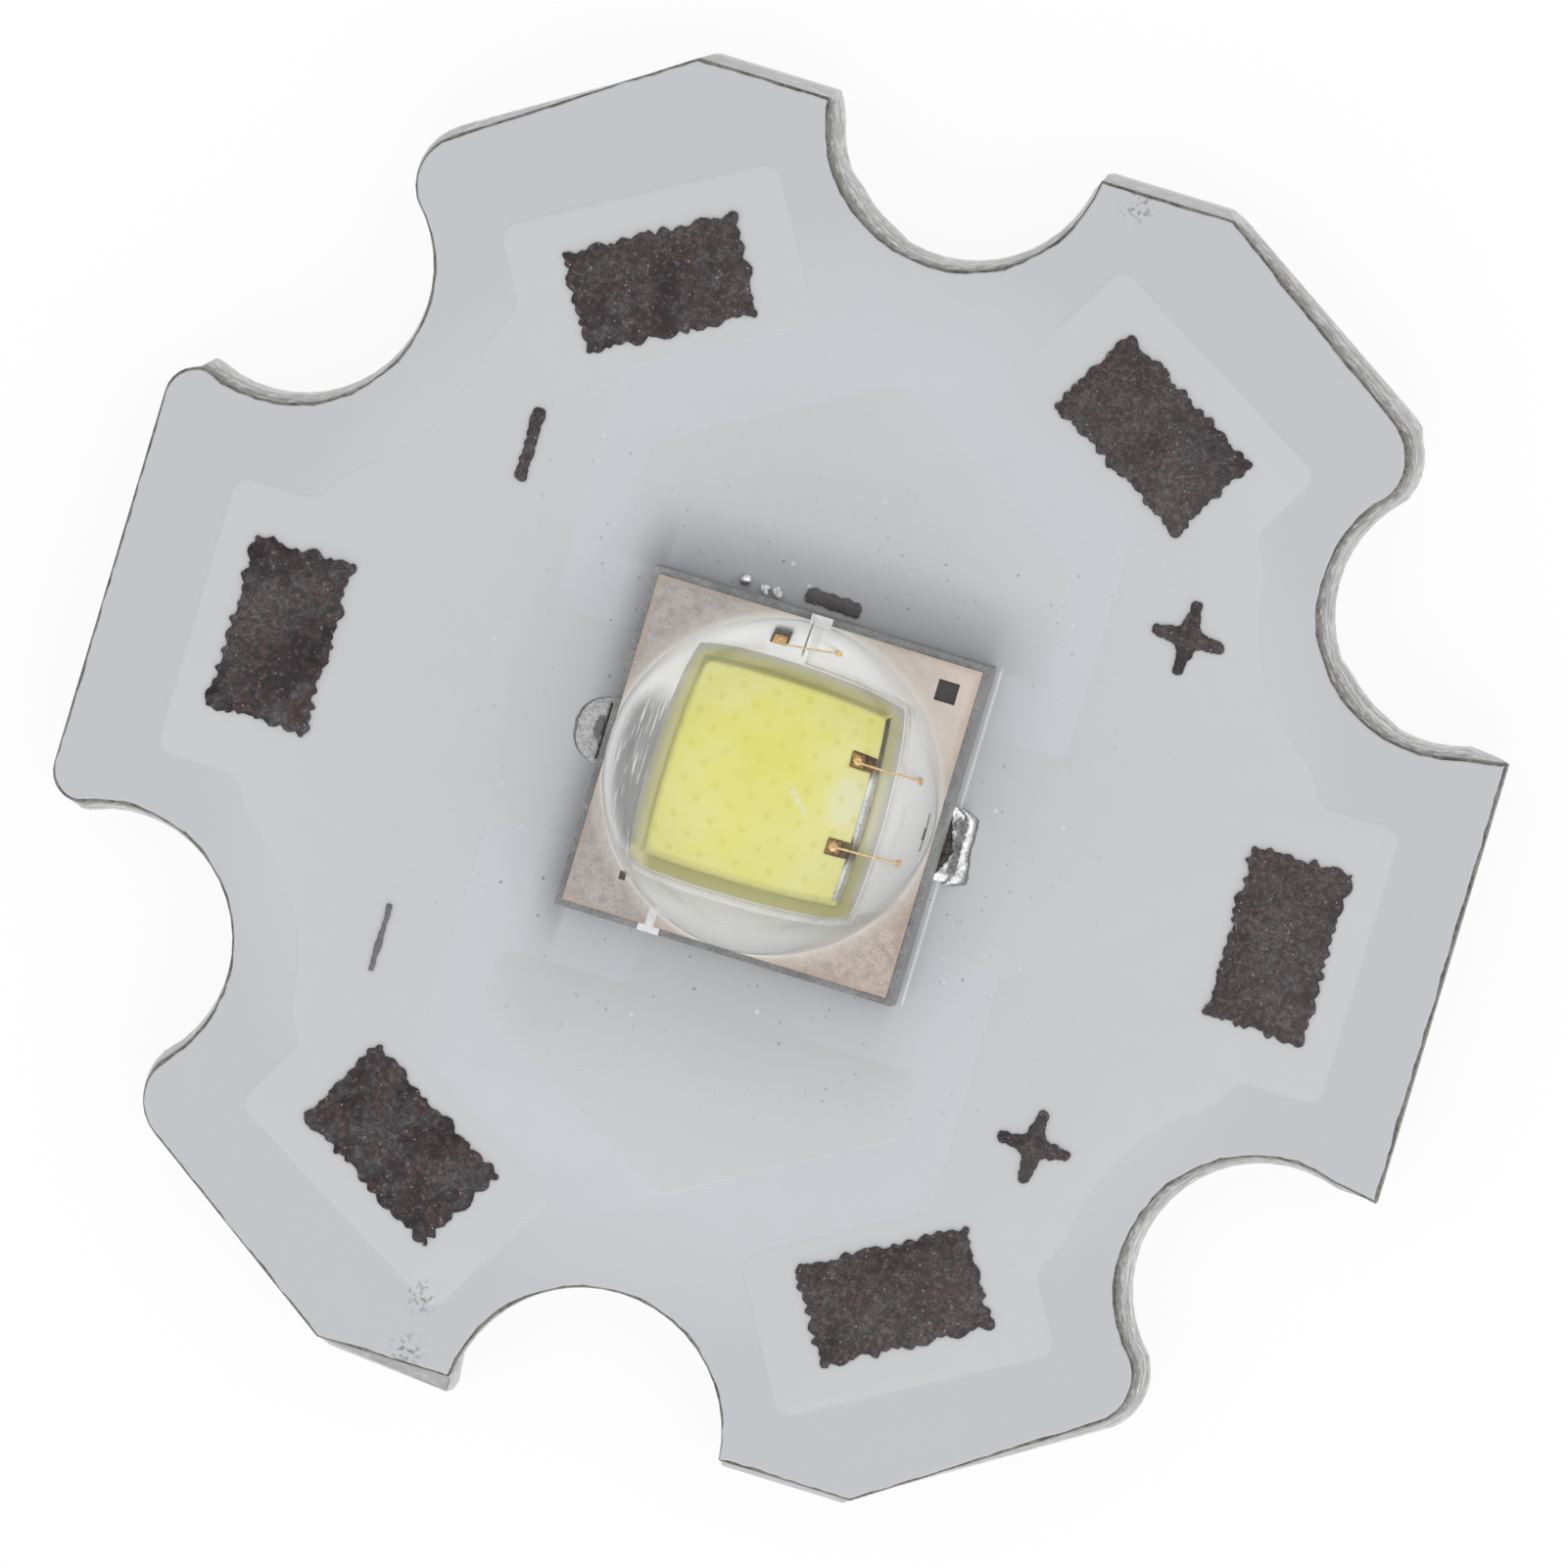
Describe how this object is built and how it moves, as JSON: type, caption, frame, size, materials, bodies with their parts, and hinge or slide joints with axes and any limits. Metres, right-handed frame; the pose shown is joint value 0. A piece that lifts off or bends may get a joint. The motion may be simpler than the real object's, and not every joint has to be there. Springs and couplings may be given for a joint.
{
  "type": "led star board",
  "caption": "Star-shaped aluminium-core board with round screw notches, wire pads and a square ceramic LED package under a clear silicone dome.",
  "frame": {"origin": "middle of the board's underside, on the face that is pressed to a heat sink", "axes": "+Z out of the lens, +X towards the anode side (plus marks), +Y towards the short bar beside the package"},
  "size_m": [0.02, 0.0194, 0.005],
  "materials": {
    "aluminium_core": "satin",
    "dielectric": "matte",
    "copper": "satin",
    "mask": "satin",
    "ink": "granular matte",
    "solder": "bright",
    "gold": "bright",
    "ceramic": "matte",
    "top_metal": "satin",
    "white_fill": "matte",
    "die": "polished",
    "phosphor": "matte",
    "diode": "polished",
    "silicone": "clear"
  },
  "bodies": {
    "root": {"board_core": "aluminium_core", "board_dielectric": "dielectric", "copper_cathode": "copper", "copper_anode": "copper", "copper_thermal": "copper", "solder_mask": "mask", "cathode_wire_pads": "ink", "anode_wire_pads": "ink", "minus_marks": "ink", "plus_marks": "ink", "centre_mark": "ink", "solder_cathode": "solder", "solder_anode": "solder", "solder_thermal": "solder", "package_cathode_pad": "gold", "package_anode_pad": "gold", "package_thermal_pad": "gold", "ceramic_substrate": "ceramic", "cathode_vias": "copper", "anode_vias": "copper", "top_metal_cathode": "top_metal", "top_metal_anode": "top_metal", "gap_fill": "white_fill", "die_attach": "solder", "led_die": "die", "die_bond_pads": "gold", "phosphor_layer": "phosphor", "die_wires": "gold", "protection_diode": "diode", "diode_bond_pad": "gold", "diode_wire": "gold", "silicone_lens": "silicone"}
  },
  "joints": []
}
